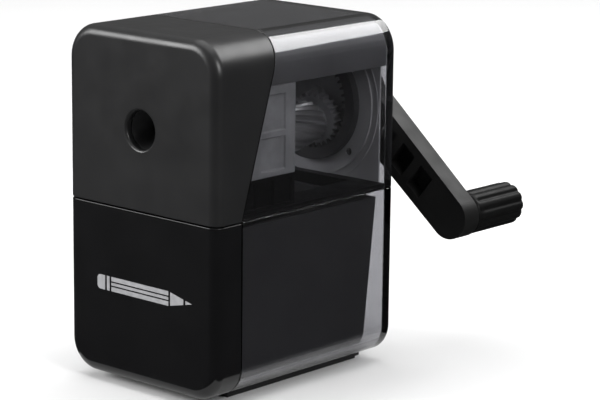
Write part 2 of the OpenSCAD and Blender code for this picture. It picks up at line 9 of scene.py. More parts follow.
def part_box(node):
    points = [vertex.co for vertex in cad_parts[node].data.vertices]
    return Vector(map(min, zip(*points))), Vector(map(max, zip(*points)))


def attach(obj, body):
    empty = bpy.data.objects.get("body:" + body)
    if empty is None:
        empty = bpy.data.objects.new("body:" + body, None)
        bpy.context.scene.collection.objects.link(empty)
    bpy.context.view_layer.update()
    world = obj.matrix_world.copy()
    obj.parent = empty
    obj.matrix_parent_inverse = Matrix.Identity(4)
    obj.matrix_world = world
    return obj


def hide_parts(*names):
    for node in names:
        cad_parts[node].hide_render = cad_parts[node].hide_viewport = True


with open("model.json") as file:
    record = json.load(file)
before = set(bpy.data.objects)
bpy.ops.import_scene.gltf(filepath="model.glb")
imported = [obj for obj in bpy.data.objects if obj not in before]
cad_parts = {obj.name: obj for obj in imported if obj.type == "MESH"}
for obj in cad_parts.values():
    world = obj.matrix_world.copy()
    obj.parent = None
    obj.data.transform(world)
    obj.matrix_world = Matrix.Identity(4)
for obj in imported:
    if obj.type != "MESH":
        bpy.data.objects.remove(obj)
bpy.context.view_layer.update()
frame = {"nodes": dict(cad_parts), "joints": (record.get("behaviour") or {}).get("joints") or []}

MM = 0.001

# Casing radii and walls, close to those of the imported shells
WALL = 2.4 * MM
TOP_R = 11 * MM
BOTTOM_R = 10 * MM
FRONT_R = 3.5 * MM
REAR_R = 1.2 * MM
INNER_R = 0.6 * MM
ARC_STEPS = 20
EDGE_STEPS = 8
ROUND_STEPS = 96

# Points closer than this are one point
MERGE = 0.002 * MM

# How far a cutting tool runs past the face it opens, and well past the whole casing
OVER = 1 * MM
FAR = 0.2

BEZEL_LO, BEZEL_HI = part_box("front_cover")
COVER_LO, COVER_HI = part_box("rear_cover")
CASING_LO, CASING_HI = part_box("lower_casing")
DRAWER_LO, DRAWER_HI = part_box("drawer_front")
TRAY_LO, TRAY_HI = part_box("drawer_tray")
GUIDE_LO, GUIDE_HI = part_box("pencil_guide")
ARM_LO, ARM_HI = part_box("crank_arm")
KNOB_LO, KNOB_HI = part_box("knob")
BULKHEAD_LO, BULKHEAD_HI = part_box("side_plates")
PLATE_LO, PLATE_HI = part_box("base_plate")

HALF_W = COVER_HI.x
FRONT_Y = BEZEL_LO.y
REAR_Y = COVER_HI.y
TOP_Z = COVER_HI.z
BASE_Z = DRAWER_LO.z
AXIS_Z = (GUIDE_LO.z + GUIDE_HI.z) / 2
JOINT_FOOT_Y = DRAWER_HI.y
JOINT_SLOPE = (BEZEL_HI.y - JOINT_FOOT_Y) / (TOP_Z - BEZEL_LO.z)
REAR_IN_Y = REAR_Y - WALL

# The printed mark's thickness, which the drawer's face leaves room for
PRINT_T = 0.04 * MM


# ---------------------------------------------------------------- shapes

def add_object(name, verts, faces):
    mesh = bpy.data.meshes.new(name)
    mesh.from_pydata(verts, [], faces)
    mesh.update()
    obj = bpy.data.objects.new(name, mesh)
    bpy.context.scene.collection.objects.link(obj)
    return obj


def arc(x, z, r, start, end, steps=ARC_STEPS):
    """Points along an arc, angles in degrees."""
    turns = [math.radians(start + (end - start) * i / steps) for i in range(steps + 1)]
    return [(x + r * math.cos(a), z + r * math.sin(a)) for a in turns]


def circle(r, steps=ROUND_STEPS):
    return arc(0, 0, r, 0, 360, steps)[:-1]


def quarter_turn(steps=EDGE_STEPS):
    """Angles from nothing to a quarter turn, for rounded edges."""
    return [math.pi / 2 * i / steps for i in range(steps + 1)]


def casing_outline(inset):
    """Front view of the casing, drawn in by inset."""
    x_top, x_low = HALF_W - TOP_R, HALF_W - BOTTOM_R
    z_top, z_low = TOP_Z - TOP_R, BASE_Z + BOTTOM_R
    rt, rb = TOP_R - inset, BOTTOM_R - inset
    return (arc(x_top, z_top, rt, 0, 90) + arc(-x_top, z_top, rt, 90, 180)
            + arc(-x_low, z_low, rb, 180, 270) + arc(x_low, z_low, rb, 270, 360))


def loft(name, rings):
    """A closed solid through rings of 3-D points, all with the same count."""
    count = len(rings[0])
    verts = [p for ring in rings for p in ring]
    faces = [tuple(range(count))[::-1], tuple(range((len(rings) - 1) * count, len(rings) * count))]
    for k in range(len(rings) - 1):
        for i in range(count):
            j = (i + 1) % count
            faces.append((k * count + i, k * count + j, (k + 1) * count + j, (k + 1) * count + i))
    obj = add_object(name, verts, faces)
    tidy_mesh(obj)
    return obj


def tidy_mesh(obj):
    """Joins doubled points and makes every face look outwards."""
    bm = bmesh.new()
    bm.from_mesh(obj.data)
    bmesh.ops.remove_doubles(bm, verts=bm.verts, dist=MERGE)
    bmesh.ops.recalc_face_normals(bm, faces=bm.faces)
    bm.to_mesh(obj.data)
    bm.free()


def along_y(name, outline, y0, y1):
    """Extrudes a front view outline of (x, z) points from y0 to y1."""
    return loft(name, [[(x, y, z) for x, z in outline] for y in (y0, y1)])


def across_x(name, outline, x0, x1):
    """Extrudes a side view outline of (y, z) points from x0 to x1."""
    return loft(name, [[(x, y, z) for y, z in outline] for x in (x0, x1)])


def rounded_block(name, y0, y1, inset, front_r, rear_r):
    """The casing's outline along Y, with its front and rear edges rounded."""
    rings = [(y0 + front_r * (1 - math.cos(a)), inset + front_r * (1 - math.sin(a))) for a in quarter_turn()]
    rings += [(y1 - rear_r * (1 - math.cos(a)), inset + rear_r * (1 - math.sin(a)))
              for a in reversed(quarter_turn())]
    return loft(name, [[(x, y, z) for x, z in casing_outline(d)] for y, d in rings])


def block(name, lo, hi):
    """A plain box between two corners."""
    return along_y(name, [(lo[0], lo[2]), (hi[0], lo[2]), (hi[0], hi[2]), (lo[0], hi[2])], lo[1], hi[1])


def bar(name, x, z, r, y0, y1, steps=ROUND_STEPS):
    """A round bar along Y."""
    return along_y(name, [(x + px, z + pz) for px, pz in circle(r, steps)], y0, y1)


def post(name, x, y, r, z0, z1, steps=40):
    """A round bar along Z."""
    return loft(name, [[(x + px, y + py, z) for px, py in circle(r, steps)] for z in (z0, z1)])


def revolve_y(name, profile, z):
    """A solid of revolution about a line along Y at height z, from (radius, y) points."""
    return loft(name, [[(px, y, z + pz) for px, pz in circle(r)] for r, y in profile])


def apply_modifiers(obj):
    """Turns the object's modifiers into plain mesh."""
    graph = bpy.context.evaluated_depsgraph_get()
    mesh = bpy.data.meshes.new_from_object(obj.evaluated_get(graph))
    old = obj.data
    obj.modifiers.clear()
    obj.data = mesh
    bpy.data.meshes.remove(old)


def combine(obj, tool, operation):
    """Cuts, joins or intersects obj with tool, and removes tool."""
    step = obj.modifiers.new(operation, "BOOLEAN")
    step.operation = operation
    step.solver = "EXACT"
    step.object = tool
    apply_modifiers(obj)
    bpy.data.objects.remove(tool)
    return obj


def cut(obj, tool):
    return combine(obj, tool, "DIFFERENCE")


def keep(obj, tool):
    return combine(obj, tool, "INTERSECT")


def join(obj, tool):
    return combine(obj, tool, "UNION")


def join_loose(parts, name):
    """One object that holds several separate solids."""
    whole = bmesh.new()
    for part in parts:
        whole.from_mesh(part.data)
        bpy.data.objects.remove(part)
    mesh = bpy.data.meshes.new(name)
    whole.to_mesh(mesh)
    whole.free()
    obj = bpy.data.objects.new(name, mesh)
    bpy.context.scene.collection.objects.link(obj)
    return obj


def soften(obj, width, segments=3, limit=32):
    """Rounds the sharp edges a little and gives the piece clean normals."""
    tidy_mesh(obj)
    edge = obj.modifiers.new("edge", "BEVEL")
    edge.width = width
    edge.segments = segments
    edge.limit_method = "ANGLE"
    edge.angle_limit = math.radians(limit)
    apply_modifiers(obj)
    smooth(obj)
    return obj


def smooth(obj, limit=40):
    """Shades the piece smooth, with edges over limit degrees kept sharp."""
    obj.data.shade_smooth()
    obj.data.set_sharp_from_angle(angle=math.radians(limit))
    normals = obj.modifiers.new("normals", "WEIGHTED_NORMAL")
    normals.keep_sharp = True
    apply_modifiers(obj)
    return obj


def piece(obj, body, nodes, finish):
    """Puts a finished shape on its body, in place of its CAD nodes."""
    obj.data.materials.clear()
    obj.data.materials.append(finish)
    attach(obj, body)
    if nodes:
        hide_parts(*nodes)
    return obj


# ---------------------------------------------------------------- materials

# Noise is read between these values, and roughness varies in finer patches than colour
NOISE_LOW, NOISE_HIGH = 0.3, 0.7
WEAR_SCALE = 2.3


def new_tree(name):
    """A new node material, its tree and its main shader."""
    finish = bpy.data.materials.new(name)
    finish.use_nodes = True
    tree = finish.node_tree
    return finish, tree, tree.nodes["Principled BSDF"]


def noise(tree, scale, detail, stretch=(1, 1, 1)):
    """Noise in the object's own metres, stretched along its axes."""
    place = tree.nodes.new("ShaderNodeTexCoord")
    size = tree.nodes.new("ShaderNodeMapping")
    size.inputs["Scale"].default_value = stretch
    texture = tree.nodes.new("ShaderNodeTexNoise")
    texture.inputs["Scale"].default_value = scale
    texture.inputs["Detail"].default_value = detail
    tree.links.new(place.outputs["Object"], size.inputs["Vector"])
    tree.links.new(size.outputs["Vector"], texture.inputs["Vector"])
    return texture.outputs["Fac"]


def spread(tree, source, low, high):
    """Maps noise to a range of values."""
    ranged = tree.nodes.new("ShaderNodeMapRange")
    ranged.inputs["From Min"].default_value = NOISE_LOW
    ranged.inputs["From Max"].default_value = NOISE_HIGH
    ranged.inputs["To Min"].default_value = low
    ranged.inputs["To Max"].default_value = high
    tree.links.new(source, ranged.inputs["Value"])
    return ranged.outputs["Result"]


def tint(tree, source, dark, light):
    """Maps noise to a range of colours."""
    ramp = tree.nodes.new("ShaderNodeValToRGB")
    ramp.color_ramp.elements[0].position = NOISE_LOW
    ramp.color_ramp.elements[0].color = (*dark, 1)
    ramp.color_ramp.elements[1].position = NOISE_HIGH
    ramp.color_ramp.elements[1].color = (*light, 1)
    tree.links.new(source, ramp.inputs["Fac"])
    return ramp.outputs["Color"]


def add_bump(tree, source, height, normal=None):
    """Bumps of a given height, on top of other bumps if normal is given."""
    bump = tree.nodes.new("ShaderNodeBump")
    bump.inputs["Strength"].default_value = 1.0
    bump.inputs["Distance"].default_value = height
    tree.links.new(source, bump.inputs["Height"])
    if normal is not None:
        tree.links.new(normal, bump.inputs["Normal"])
    return bump.outputs["Normal"]


def surface(name, dark, light, rough, patch=60, grain=4000, grain_height=0.004 * MM,
            wave=0, wave_height=0.01 * MM, metal=0.0, specular=0.5, stretch=(1, 1, 1)):
    """A finish whose colour and roughness drift over the surface, with a fine grain and long waves."""
    finish, tree, shader = new_tree(name)
    drift = noise(tree, patch, 4.0)
    fine = noise(tree, grain, 2.0, stretch)
    wear = noise(tree, patch * WEAR_SCALE, 5.0)
    tree.links.new(tint(tree, drift, dark, light), shader.inputs["Base Color"])
    tree.links.new(spread(tree, wear, rough[0], rough[1]), shader.inputs["Roughness"])
    normal = add_bump(tree, fine, grain_height)
    if wave:
        normal = add_bump(tree, noise(tree, wave, 2.0), wave_height, normal)
    tree.links.new(normal, shader.inputs["Normal"])
    shader.inputs["Metallic"].default_value = metal
    shader.inputs["Specular IOR Level"].default_value = specular
    return finish


def smoky_clear(name, shade, density):
    """Smoked clear plastic: it darkens with depth, and each face lets a share of the lamp light through."""
    finish, tree, shader = new_tree(name)
    shader.inputs["Base Color"].default_value = (0.93, 0.93, 0.94, 1)
    shader.inputs["Roughness"].default_value = 0.02
    shader.inputs["IOR"].default_value = 1.49
    shader.inputs["Transmission Weight"].default_value = 1.0
    normal = add_bump(tree, noise(tree, 90, 2.0), 0.012 * MM)
    tree.links.new(normal, shader.inputs["Normal"])
    path = tree.nodes.new("ShaderNodeLightPath")
    clear = tree.nodes.new("ShaderNodeBsdfTransparent")
    clear.inputs["Color"].default_value = (shade, shade, shade, 1)
    mix = tree.nodes.new("ShaderNodeMixShader")
    tree.links.new(path.outputs["Is Shadow Ray"], mix.inputs[0])
    tree.links.new(shader.outputs[0], mix.inputs[1])
    tree.links.new(clear.outputs[0], mix.inputs[2])
    inside = tree.nodes.new("ShaderNodeVolumeAbsorption")
    inside.inputs["Color"].default_value = (0.5, 0.5, 0.52, 1)
    inside.inputs["Density"].default_value = density
    out = tree.nodes["Material Output"]
    tree.links.new(mix.outputs[0], out.inputs["Surface"])
    tree.links.new(inside.outputs[0], out.inputs["Volume"])
    return finish


BLACK_SATIN = surface("black_satin_plastic", (0.01, 0.01, 0.0105), (0.013, 0.013, 0.0135), (0.3, 0.36),
                      grain=5200, grain_height=0.0018 * MM, wave=70, wave_height=0.012 * MM, specular=0.42)
BLACK_GLOSS = surface("black_gloss_plastic", (0.0035, 0.0035, 0.0038), (0.005, 0.005, 0.0054), (0.09, 0.16),
                      grain=2600, grain_height=0.0008 * MM, wave=80, wave_height=0.016 * MM, specular=0.3)
BLACK_GRAIN = surface("black_grained_plastic", (0.006, 0.006, 0.006), (0.009, 0.009, 0.009), (0.42, 0.55),
                      grain=3800, grain_height=0.012 * MM, specular=0.25)
KNOB_PLASTIC = surface("knob_plastic", (0.004, 0.004, 0.004), (0.006, 0.006, 0.006), (0.36, 0.46),
                       grain=4200, grain_height=0.008 * MM, specular=0.1)
TRAY_PLASTIC = surface("tray_plastic", (0.058, 0.058, 0.06), (0.07, 0.07, 0.072), (0.4, 0.5),
                       grain=3600, grain_height=0.006 * MM, specular=0.3)
FRAME_PLASTIC = surface("frame_plastic", (0.13, 0.13, 0.134), (0.17, 0.17, 0.175), (0.34, 0.46),
                        grain=2400, grain_height=0.01 * MM, wave=140, wave_height=0.02 * MM)
BULKHEAD_PLASTIC = surface("bulkhead_plastic", (0.3, 0.3, 0.308), (0.48, 0.48, 0.49), (0.32, 0.44),
                           patch=120, grain=1800, grain_height=0.01 * MM, wave=220, wave_height=0.03 * MM)
DECK_PLASTIC = surface("deck_plastic", (0.005, 0.005, 0.0055), (0.009, 0.009, 0.0095), (0.45, 0.55),
                       grain=2800, grain_height=0.008 * MM, specular=0.2)
RUBBER = surface("rubber_pad", (0.011, 0.011, 0.011), (0.02, 0.02, 0.02), (0.75, 0.9),
                 patch=180, grain=3200, grain_height=0.03 * MM, specular=0.25)
ZINC = surface("die_cast_zinc", (0.56, 0.56, 0.57), (0.66, 0.66, 0.67), (0.42, 0.56),
               patch=160, grain=2600, grain_height=0.012 * MM, wave=420, wave_height=0.02 * MM, metal=0.3)
PINION_STEEL = surface("sintered_steel", (0.42, 0.42, 0.43), (0.52, 0.52, 0.53), (0.38, 0.5),
                       patch=220, grain=3200, grain_height=0.01 * MM, metal=0.45)
HOUSING_GREY = surface("gear_housing_plastic", (0.5, 0.5, 0.51), (0.6, 0.6, 0.61), (0.32, 0.42),
                       patch=90, grain=2600, grain_height=0.008 * MM)
RING_PLASTIC = surface("ring_gear_plastic", (0.05, 0.05, 0.052), (0.07, 0.07, 0.072), (0.36, 0.46),
                       patch=120, grain=2600, grain_height=0.008 * MM)
GEAR_BLACK = surface("gear_plastic", (0.012, 0.012, 0.013), (0.02, 0.02, 0.021), (0.34, 0.44),
                     grain=2600, grain_height=0.008 * MM)
TOOL_STEEL = surface("ground_steel", (0.82, 0.82, 0.83), (0.92, 0.92, 0.93), (0.34, 0.44),
                     patch=240, grain=5200, grain_height=0.004 * MM, metal=1.0, stretch=(1, 0.15, 1))
AXLE_STEEL = surface("turned_steel", (0.5, 0.5, 0.51), (0.6, 0.6, 0.61), (0.2, 0.34),
                     patch=200, grain=6000, grain_height=0.004 * MM, metal=1.0, stretch=(0.1, 1, 0.1))
SCREW_STEEL = surface("plated_screw_steel", (0.45, 0.45, 0.46), (0.58, 0.58, 0.59), (0.18, 0.32),
                      patch=400, grain=5000, grain_height=0.003 * MM, metal=1.0)
BRASS = surface("turned_brass", (0.52, 0.36, 0.15), (0.66, 0.48, 0.22), (0.2, 0.34),
                patch=300, grain=5000, grain_height=0.003 * MM, metal=1.0, stretch=(0.1, 1, 0.1))
PRINT = surface("printed_mark", (0.26, 0.26, 0.27), (0.33, 0.33, 0.34), (0.4, 0.5),
                patch=500, grain=6000, grain_height=0.002 * MM)
CLEAR = smoky_clear("smoky_clear_plastic", 0.8, 400)


# ---------------------------------------------------------------- camera, floor and light

CAMERA_AT = Vector((0.5130, -0.5413, 0.2222))
CAMERA_YAW = 41.82
CAMERA_PITCH = 12.65
CAMERA_ROLL = 0.65
CAMERA_LENS = 145.4


def make_camera():
    """The camera, turned and tipped from level and rolled about its line of sight."""
    yaw, pitch, roll = (math.radians(a) for a in (CAMERA_YAW, CAMERA_PITCH, CAMERA_ROLL))
    ahead = Vector((-math.sin(yaw) * math.cos(pitch), math.cos(yaw) * math.cos(pitch), -math.sin(pitch)))
    level = Vector((math.cos(yaw), math.sin(yaw), 0))
    above = level.cross(ahead)
    right = level * math.cos(roll) + above * math.sin(roll)
    up = above * math.cos(roll) - level * math.sin(roll)
    data = bpy.data.cameras.new("camera")
    data.lens = CAMERA_LENS
    data.sensor_width = 36
    data.clip_start = 0.01
    obj = bpy.data.objects.new("camera", data)
    turn = Matrix((right, up, -ahead)).transposed().to_4x4()
    obj.matrix_world = Matrix.Translation(CAMERA_AT) @ turn
    bpy.context.scene.collection.objects.link(obj)
    bpy.context.scene.camera = obj


def softbox(name, place, target, width, height, power):
    """A rectangular lamp at place, aimed at target."""
    data = bpy.data.lights.new(name, "AREA")
    data.shape = "RECTANGLE"
    data.size = width
    data.size_y = height
    data.energy = power
    obj = bpy.data.objects.new(name, data)
    obj.location = place
    obj.rotation_euler = (Vector(target) - Vector(place)).to_track_quat("-Z", "Y").to_euler()
    bpy.context.scene.collection.objects.link(obj)


def make_floor():
    """A white table, just under the part's foot."""
    half, drop = 3.0, 0.05 * MM
    floor = add_object("floor", [(-half, -half, 0), (half, -half, 0), (half, half, 0), (-half, half, 0)],
                       [(0, 1, 2, 3)])
    floor.location.z = -drop
    paint = surface("floor_paint", (0.86, 0.86, 0.86), (0.88, 0.88, 0.88), (0.7, 0.8),
                    patch=3, grain=300, grain_height=0.01 * MM, specular=0.2)
    floor.data.materials.append(paint)


def dark_card(name, verts, faces, through_clear):
    """A card that only reflections see, as a studio flag works, and the view through clear walls if asked."""
    card = add_object(name, verts, faces)
    tidy_mesh(card)
    card.visible_camera = False
    card.visible_diffuse = False
    card.visible_shadow = False
    card.visible_transmission = through_clear
    paint = surface(name + "_paint", (0.02, 0.02, 0.02), (0.03, 0.03, 0.03), (0.8, 0.9),
                    patch=3, grain=300, specular=0.1)
    card.data.materials.append(paint)


def make_dark_table():
    """Cards just over the table that darken its reflection: one beside the crank side, one round the rest."""
    margin, reach, table_z = 10 * MM, 2.0, 0.5 * MM
    left, right = -HALF_W - margin, HALF_W + margin
    front, rear = FRONT_Y - margin, REAR_Y + margin
    beside = [(right, -reach), (reach, -reach), (reach, reach), (right, reach)]
    dark_card("dark_table_beside", [(x, y, table_z) for x, y in beside], [(0, 1, 2, 3)],
              through_clear=True)
    near = [(right, front), (left, front), (left, rear), (right, rear)]
    wide = [(right, -reach), (-reach, -reach), (-reach, reach), (right, reach)]
    faces = [(k, k + 4, k + 5, k + 1) for k in range(3)]
    dark_card("dark_table_round", [(x, y, table_z) for x, y in near + wide], faces, through_clear=False)


def make_dark_screen():
    """A low dark screen behind the crank side, so that the side walls reflect no bright horizon."""
    away = Vector((0.667, 0.745, 0))
    across = Vector((-away.y, away.x, 0))
    distance, half, height = 0.8, 0.5, 0.3
    foot = [away * distance + across * side for side in (-half, half)]
    verts = foot + [p + Vector((0, 0, height)) for p in reversed(foot)]
    dark_card("dark_screen", verts, [(0, 1, 2, 3)], through_clear=True)


def make_world():
    """Soft studio surroundings: bright overhead, dimmer towards the horizon."""
    world = bpy.data.worlds.new("studio")
    bpy.context.scene.world = world
    world.use_nodes = True
    tree = world.node_tree
    ground = tree.nodes["Background"]
    place = tree.nodes.new("ShaderNodeTexCoord")
    split = tree.nodes.new("ShaderNodeSeparateXYZ")
    ramp = tree.nodes.new("ShaderNodeValToRGB")
    ramp.color_ramp.elements[0].position = 0.25
    ramp.color_ramp.elements[0].color = (0.25, 0.25, 0.25, 1)
    ramp.color_ramp.elements[1].position = 0.9
    ramp.color_ramp.elements[1].color = (1, 1, 1, 1)
    tree.links.new(place.outputs["Generated"], split.inputs["Vector"])
    tree.links.new(split.outputs["Z"], ramp.inputs["Fac"])
    tree.links.new(ramp.outputs["Color"], ground.inputs["Color"])
    ground.inputs["Strength"].default_value = 0.5


def make_lights():
    """A key lamp from the front left, two from behind and beside, and a wide one overhead."""
    middle = (0, 0, 0.06)
    softbox("key_light", (-0.7, -0.8, 0.5), middle, width=0.6, height=0.5, power=12)
    softbox("edge_light", (0.22, 0.72, 0.7), middle, width=0.7, height=0.28, power=4.5)
    softbox("side_light", (0.9, -0.15, 0.55), middle, width=0.4, height=0.4, power=4.5)
    softbox("top_light", (-0.25, 0.3, 1.7), (-0.25, 0.3, 0), width=1.8, height=1.8, power=18)


# ---------------------------------------------------------------- casing

def joint_wedge(name, shift):
    """Everything in front of the leaning joint, moved back by shift, as a side view."""
    low, high = BEZEL_LO.z, TOP_Z + FAR
    foot = JOINT_FOOT_Y + shift
    return across_x(name, [(FRONT_Y - FAR, low), (foot, low), (foot + (high - low) * JOINT_SLOPE, high),
                           (FRONT_Y - FAR, high)], -FAR, FAR)


def make_bezel():
    """The opaque front cover, with its pencil hole flared outwards by lip."""
    hole_r, lip = 6.0 * MM, 0.9 * MM
    shell = keep(rounded_block("front_bezel", FRONT_Y, REAR_Y, 0, FRONT_R, REAR_R), joint_wedge("wedge", 0))
    cut(shell, rounded_block("space", FRONT_Y + WALL, FAR, WALL, FRONT_R - WALL, REAR_R))
    flare = [(hole_r + lip * (1 - math.cos(a)), FRONT_Y + lip * (1 - math.sin(a)))
             for a in reversed(quarter_turn())]
    profile = [(hole_r + lip, FRONT_Y - lip)] + flare + [(hole_r, FRONT_Y + 2 * WALL)]
    cut(shell, revolve_y("hole", profile, AXIS_Z))
    soften(shell, 0.35 * MM)
    return piece(shell, "housing", ["front_cover"], BLACK_SATIN)


def make_clear_cover():
    """The clear upper cover, open round the gear housing's boss and at its four screws."""
    gap = 0.1 * MM
    bore_r = 18.1 * MM
    screw_hole_r, screw_head_r = 1.35 * MM, 2.3 * MM
    # The screws stand at 45 degrees round the axis, so their box gives their ring
    screw_ring = (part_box("housing_screws")[1].x - screw_head_r) / math.cos(math.radians(45))
    shell = cut(rounded_block("clear_cover", FRONT_Y, REAR_Y, 0, FRONT_R, REAR_R), joint_wedge("wedge", gap))
    cut(shell, block("below", (-FAR, -FAR, -FAR), (FAR, FAR, COVER_LO.z)))
    cut(shell, rounded_block("space", FRONT_Y + WALL, REAR_IN_Y, WALL, INNER_R, INNER_R))
    cut(shell, bar("bore", 0, AXIS_Z, bore_r, REAR_IN_Y - WALL, REAR_Y + WALL))
    for x, z in arc(0, AXIS_Z, screw_ring, 45, 315, 3):
        cut(shell, bar("screw_hole", x, z, screw_hole_r, REAR_IN_Y - WALL, REAR_Y + WALL, 32))
    soften(shell, 0.3 * MM)
    return piece(shell, "housing", ["rear_cover"], CLEAR)


def make_clear_casing():
    """The clear lower shell, open at the front for the drawer and at the top for the deck."""
    shell = keep(rounded_block("clear_casing", FRONT_Y, REAR_Y, 0, FRONT_R, REAR_R),
                 block("lower", (-FAR, CASING_LO.y, -FAR), (FAR, FAR, CASING_HI.z)))
    cut(shell, rounded_block("space", -FAR, REAR_IN_Y, WALL, INNER_R, INNER_R))
    soften(shell, 0.15 * MM)
    return piece(shell, "housing", ["lower_casing"], CLEAR)


# ---------------------------------------------------------------- drawer

def make_drawer_face():
    """The glossy cap of the drawer, hollow behind, with a lip along its top."""
    lip_t = 1.6 * MM
    shell = keep(rounded_block("drawer_face", FRONT_Y + PRINT_T, REAR_Y, 0, FRONT_R, REAR_R),
                 block("front", (-FAR, -FAR, -FAR), (FAR, DRAWER_HI.y, DRAWER_HI.z)))
    space = keep(rounded_block("space", FRONT_Y + WALL, FAR, WALL, FRONT_R - WALL, REAR_R),
                 block("below_lip", (-FAR, -FAR, -FAR), (FAR, FAR, DRAWER_HI.z - lip_t)))
    cut(shell, space)
    soften(shell, 0.25 * MM)
    return piece(shell, "drawer", ["drawer_front"], BLACK_GLOSS)


def make_mark():
    """A plain pencil, printed on the drawer's face."""
    half_h, left, right = 2.3 * MM, -19 * MM, 12 * MM
    tip, lead = 22 * MM, 3.2 * MM
    height = BASE_Z + 30 * MM
    slope = half_h / (tip - right)
    stripe = 0.45 * MM
    rubber_end, rubber_r = left + 3.4 * MM, 1.4 * MM
    band_start, band_end = left + 4.2 * MM, left + 5.4 * MM
    barrel = left + 6.2 * MM
    wood = right + 0.8 * MM
    neck = tip - lead

    def slab(start, end, low, high):
        return [(start, low), (end, low), (end, high), (start, high)]

    stripes = [(-half_h, -stripe * 2), (-stripe, stripe), (stripe * 2, half_h)]
    shapes = [slab(barrel, right, low, high) for low, high in stripes]
    shapes.append(slab(band_start, band_end, -half_h, half_h))
    shapes.append([(rubber_end, -half_h), (rubber_end, half_h)]
                  + arc(left + rubber_r, half_h - rubber_r, rubber_r, 90, 180, 8)
                  + arc(left + rubber_r, -half_h + rubber_r, rubber_r, 180, 270, 8))
    wood_h, neck_h, lead_h = slope * (tip - wood), slope * (tip - neck + stripe), slope * (lead - stripe)
    shapes.append([(wood, -wood_h), (neck - stripe, -neck_h), (neck - stripe, neck_h), (wood, wood_h)])
    shapes.append([(neck + stripe, -lead_h), (tip, 0), (neck + stripe, lead_h)])
    parts = [along_y("mark", [(x, height + z) for x, z in shape], FRONT_Y, FRONT_Y + 2 * PRINT_T)
             for shape in shapes]
    mark = join_loose(parts, "pencil_mark")
    return piece(mark, "drawer", [], PRINT)


def tray_side(inset, top_z):
    """Side view of the tray, with its rear wall leaning and a rounded heel."""
    lean, heel_r = math.radians(5.8), 5 * MM - inset
    low = TRAY_LO.z + inset
    front, rear = TRAY_LO.y + inset, TRAY_HI.y - inset
    heel_y = TRAY_HI.y - (TRAY_HI.z - low) * math.tan(lean) - inset - heel_r
    heel = arc(heel_y, low + heel_r, heel_r, -90, -math.degrees(lean), 12)
    return [(front, top_z), (front, low)] + heel + [(rear, top_z)]


def make_tray():
    """The tray behind the drawer's face, with a round-cornered bottom."""
    wall, inset = 1.8 * MM, HALF_W - TRAY_HI.x
    tray = keep(along_y("drawer_bin", casing_outline(inset), TRAY_LO.y, TRAY_HI.y),
                across_x("side", tray_side(0, TRAY_HI.z), -FAR, FAR))
    space = keep(along_y("space", casing_outline(inset + wall), TRAY_LO.y, TRAY_HI.y),
                 across_x("side", tray_side(wall, TRAY_HI.z + wall), -FAR, FAR))
    cut(tray, space)
    soften(tray, 0.5 * MM)
    return piece(tray, "drawer", ["drawer_tray"], TRAY_PLASTIC)


# ---------------------------------------------------------------- inside the covers

RAIL_H = 10 * MM
SIDE_T = 2.0 * MM


def make_bulkhead():
    """The frame behind the front cover, with shallow panels in its side plates, cut away for the rails."""
    back_t, guide_bore = 2.4 * MM, 6.1 * MM
    panel_d, panel_front, panel_rear = 0.7 * MM, 15 * MM, 4.5 * MM
    panel_rows = ((12 * MM, 22 * MM), (24 * MM, 35 * MM))
    lo, hi = BULKHEAD_LO, BULKHEAD_HI
    body = block("bulkhead", lo, hi)
    cut(body, block("space", (lo.x + SIDE_T, -FAR, lo.z - SIDE_T),
                    (hi.x - SIDE_T, hi.y - back_t, hi.z + SIDE_T)))
    cut(body, bar("bore", 0, AXIS_Z, guide_bore, hi.y - 2 * back_t, hi.y + back_t))
    for outer in (lo.x, hi.x):
        for low, high in panel_rows:
            cut(body, block("panel", (outer - panel_d, hi.y - panel_front, lo.z + low),
                            (outer + panel_d, hi.y - panel_rear, lo.z + high)))
    for x in (lo.x, hi.x - SIDE_T):
        cut(body, block("rail_seat", (x - SIDE_T, lo.y - SIDE_T, lo.z - SIDE_T),
                        (x + 2 * SIDE_T, hi.y + back_t, lo.z + RAIL_H)))
    soften(body, 0.35 * MM)
    return piece(body, "housing", ["front_bulkhead", "side_plates"], BULKHEAD_PLASTIC)


def make_rails():
    """The dark lower rails of the side plates, with upright posts between shallow bays."""
    posts, post_w, bay_d = 5, 1.6 * MM, 0.8 * MM
    edge = 1.2 * MM
    lo, hi = BULKHEAD_LO, BULKHEAD_HI
    pitch = (hi.y - lo.y - post_w) / (posts - 1)
    rails = []
    for x, outer in ((lo.x, lo.x), (hi.x - SIDE_T, hi.x)):
        rail = block("rail", (x, lo.y, lo.z), (x + SIDE_T, hi.y, lo.z + RAIL_H))
        for k in range(posts - 1):
            start = lo.y + post_w + k * pitch
            cut(rail, block("bay", (outer - bay_d, start, lo.z + edge),
                            (outer + bay_d, start + pitch - post_w, lo.z + RAIL_H - edge)))
        rails.append(soften(rail, 0.25 * MM))
    return piece(join_loose(rails, "bulkhead_rails"), "housing", [], DECK_PLASTIC)


